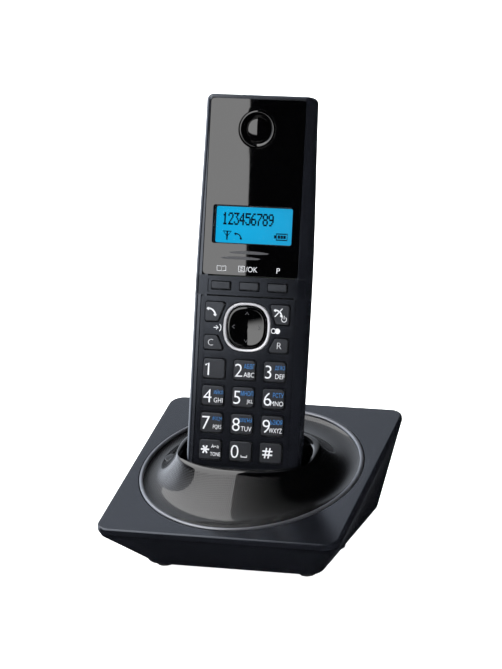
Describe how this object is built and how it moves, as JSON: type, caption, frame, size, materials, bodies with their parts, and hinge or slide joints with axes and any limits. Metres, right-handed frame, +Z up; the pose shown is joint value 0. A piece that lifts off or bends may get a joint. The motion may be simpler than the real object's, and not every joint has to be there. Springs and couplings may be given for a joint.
{
  "type": "cordless phone with base",
  "caption": "Cordless telephone handset leaning back in a tilted square charging base with a round glossy dish, keypad, navigation ring and backlit display.",
  "frame": {"origin": "middle of the whole object's box, at table height under the rubber feet", "axes": "+Z up, -Y towards the user and the keypad, +X to the user's right"},
  "size_m": [0.1024, 0.1062, 0.1838],
  "materials": {
    "shell_plastic": "fine satin grain, charcoal black",
    "gloss_black": "piano-black gloss",
    "key_plastic": "soft satin, charcoal, printed white and blue legends",
    "chrome_trim": "satin plated ring",
    "grey_trim": "glossy light grey edge ring",
    "rubber": "matt black rubber",
    "circuit_board": "green solder mask",
    "contact_metal": "plated spring steel",
    "screen": "backlit blue liquid crystal",
    "clear_window": "clear window",
    "cell_sleeve": "sleeved rechargeable cell",
    "magnet_steel": "dull metal capsule"
  },
  "bodies": {
    "base": {"base_top_cover": "shell_plastic", "cradle_dish": "gloss_black", "dish_trim_ring": "grey_trim", "base_bottom_case": "shell_plastic", "base_board": "circuit_board", "dc_jack": "shell_plastic", "line_jack": "shell_plastic", "foot_front_left": "rubber", "foot_front_right": "rubber", "foot_middle_left": "rubber", "foot_middle_right": "rubber", "foot_rear_left": "rubber", "foot_rear_right": "rubber", "charge_terminal_left": "contact_metal", "charge_terminal_right": "contact_metal"},
    "handset": {"handset_front_case": "shell_plastic", "handset_rear_case": "shell_plastic", "display_cover": "gloss_black", "display_window": "clear_window", "soft_key_band": "shell_plastic", "keypad_panel": "shell_plastic", "earpiece_dome": "gloss_black", "earpiece_speaker": "magnet_steel", "lcd_module": "screen", "keypad_mat": "rubber", "handset_board": "circuit_board", "navigator_ring": "chrome_trim", "microphone": "magnet_steel", "ringer_speaker": "magnet_steel", "battery_left": "cell_sleeve", "battery_right": "cell_sleeve", "battery_contacts": "contact_metal", "charge_contact_left": "contact_metal", "charge_contact_right": "contact_metal", "case_screw_left": "contact_metal", "case_screw_right": "contact_metal"},
    "key_0": {"key_0": "key_plastic"},
    "key_1": {"key_1": "key_plastic"},
    "key_2": {"key_2": "key_plastic"},
    "key_3": {"key_3": "key_plastic"},
    "key_4": {"key_4": "key_plastic"},
    "key_5": {"key_5": "key_plastic"},
    "key_6": {"key_6": "key_plastic"},
    "key_7": {"key_7": "key_plastic"},
    "key_8": {"key_8": "key_plastic"},
    "key_9": {"key_9": "key_plastic"},
    "key_star": {"key_star": "key_plastic"},
    "key_hash": {"key_hash": "key_plastic"},
    "talk_key": {"talk_key": "key_plastic"},
    "off_key": {"off_key": "key_plastic"},
    "clear_key": {"clear_key": "key_plastic"},
    "recall_key": {"recall_key": "key_plastic"},
    "soft_key_left": {"soft_key_left": "key_plastic"},
    "soft_key_middle": {"soft_key_middle": "key_plastic"},
    "soft_key_right": {"soft_key_right": "key_plastic"},
    "locator_button": {"locator_button": "gloss_black"},
    "navigator_pad": {"navigator_pad": "rubber"},
    "navigator_cap": {"navigator_cap": "gloss_black"},
    "battery_door": {"battery_door": "shell_plastic"}
  },
  "joints": [
    {"name": "handset_lift", "type": "slide", "parent": "base", "child": "handset", "axis": [0, 0.3005, 0.9538], "range_m": [0, 0.06]},
    {"name": "key_0_press", "type": "slide", "parent": "handset", "child": "key_0", "axis": [0, 0.9538, -0.3005], "range_m": [0, 0.0007], "stiffness_N_per_m": 300},
    {"name": "key_1_press", "type": "slide", "parent": "handset", "child": "key_1", "axis": [0, 0.9538, -0.3005], "range_m": [0, 0.0007], "stiffness_N_per_m": 300},
    {"name": "key_2_press", "type": "slide", "parent": "handset", "child": "key_2", "axis": [0, 0.9538, -0.3005], "range_m": [0, 0.0007], "stiffness_N_per_m": 300},
    {"name": "key_3_press", "type": "slide", "parent": "handset", "child": "key_3", "axis": [0, 0.9538, -0.3005], "range_m": [0, 0.0007], "stiffness_N_per_m": 300},
    {"name": "key_4_press", "type": "slide", "parent": "handset", "child": "key_4", "axis": [0, 0.9538, -0.3005], "range_m": [0, 0.0007], "stiffness_N_per_m": 300},
    {"name": "key_5_press", "type": "slide", "parent": "handset", "child": "key_5", "axis": [0, 0.9538, -0.3005], "range_m": [0, 0.0007], "stiffness_N_per_m": 300},
    {"name": "key_6_press", "type": "slide", "parent": "handset", "child": "key_6", "axis": [0, 0.9538, -0.3005], "range_m": [0, 0.0007], "stiffness_N_per_m": 300},
    {"name": "key_7_press", "type": "slide", "parent": "handset", "child": "key_7", "axis": [0, 0.9538, -0.3005], "range_m": [0, 0.0007], "stiffness_N_per_m": 300},
    {"name": "key_8_press", "type": "slide", "parent": "handset", "child": "key_8", "axis": [0, 0.9538, -0.3005], "range_m": [0, 0.0007], "stiffness_N_per_m": 300},
    {"name": "key_9_press", "type": "slide", "parent": "handset", "child": "key_9", "axis": [0, 0.9538, -0.3005], "range_m": [0, 0.0007], "stiffness_N_per_m": 300},
    {"name": "key_star_press", "type": "slide", "parent": "handset", "child": "key_star", "axis": [0, 0.9538, -0.3005], "range_m": [0, 0.0007], "stiffness_N_per_m": 300},
    {"name": "key_hash_press", "type": "slide", "parent": "handset", "child": "key_hash", "axis": [0, 0.9538, -0.3005], "range_m": [0, 0.0007], "stiffness_N_per_m": 300},
    {"name": "talk_key_press", "type": "slide", "parent": "handset", "child": "talk_key", "axis": [0, 0.9538, -0.3005], "range_m": [0, 0.0007], "stiffness_N_per_m": 300},
    {"name": "off_key_press", "type": "slide", "parent": "handset", "child": "off_key", "axis": [0, 0.9538, -0.3005], "range_m": [0, 0.0007], "stiffness_N_per_m": 300},
    {"name": "clear_key_press", "type": "slide", "parent": "handset", "child": "clear_key", "axis": [0, 0.9538, -0.3005], "range_m": [0, 0.0007], "stiffness_N_per_m": 300},
    {"name": "recall_key_press", "type": "slide", "parent": "handset", "child": "recall_key", "axis": [0, 0.9538, -0.3005], "range_m": [0, 0.0007], "stiffness_N_per_m": 300},
    {"name": "soft_key_left_press", "type": "slide", "parent": "handset", "child": "soft_key_left", "axis": [0, 0.9538, -0.3005], "range_m": [0, 0.0007], "stiffness_N_per_m": 300},
    {"name": "soft_key_middle_press", "type": "slide", "parent": "handset", "child": "soft_key_middle", "axis": [0, 0.9538, -0.3005], "range_m": [0, 0.0007], "stiffness_N_per_m": 300},
    {"name": "soft_key_right_press", "type": "slide", "parent": "handset", "child": "soft_key_right", "axis": [0, 0.9538, -0.3005], "range_m": [0, 0.0007], "stiffness_N_per_m": 300},
    {"name": "locator_button_press", "type": "slide", "parent": "base", "child": "locator_button", "axis": [0, 0.229, -0.9734], "range_m": [0, 0.0008], "stiffness_N_per_m": 300},
    {"name": "navigator_up_down", "type": "hinge", "parent": "handset", "child": "navigator_pad", "pos_m": [0, 0.00161, 0.09395], "axis": [1, 0, 0], "range_deg": [-2.5, 2.5], "stiffness_Nm_per_rad": 0.05},
    {"name": "navigator_left_right", "type": "hinge", "parent": "navigator_pad", "child": "navigator_cap", "pos_m": [0, 0.00161, 0.09395], "axis": [0, 0.3005, 0.9538], "range_deg": [-2.5, 2.5], "stiffness_Nm_per_rad": 0.05},
    {"name": "battery_door_slide", "type": "slide", "parent": "handset", "child": "battery_door", "axis": [0, -0.3005, -0.9538], "range_m": [0, 0.0045]}
  ]
}
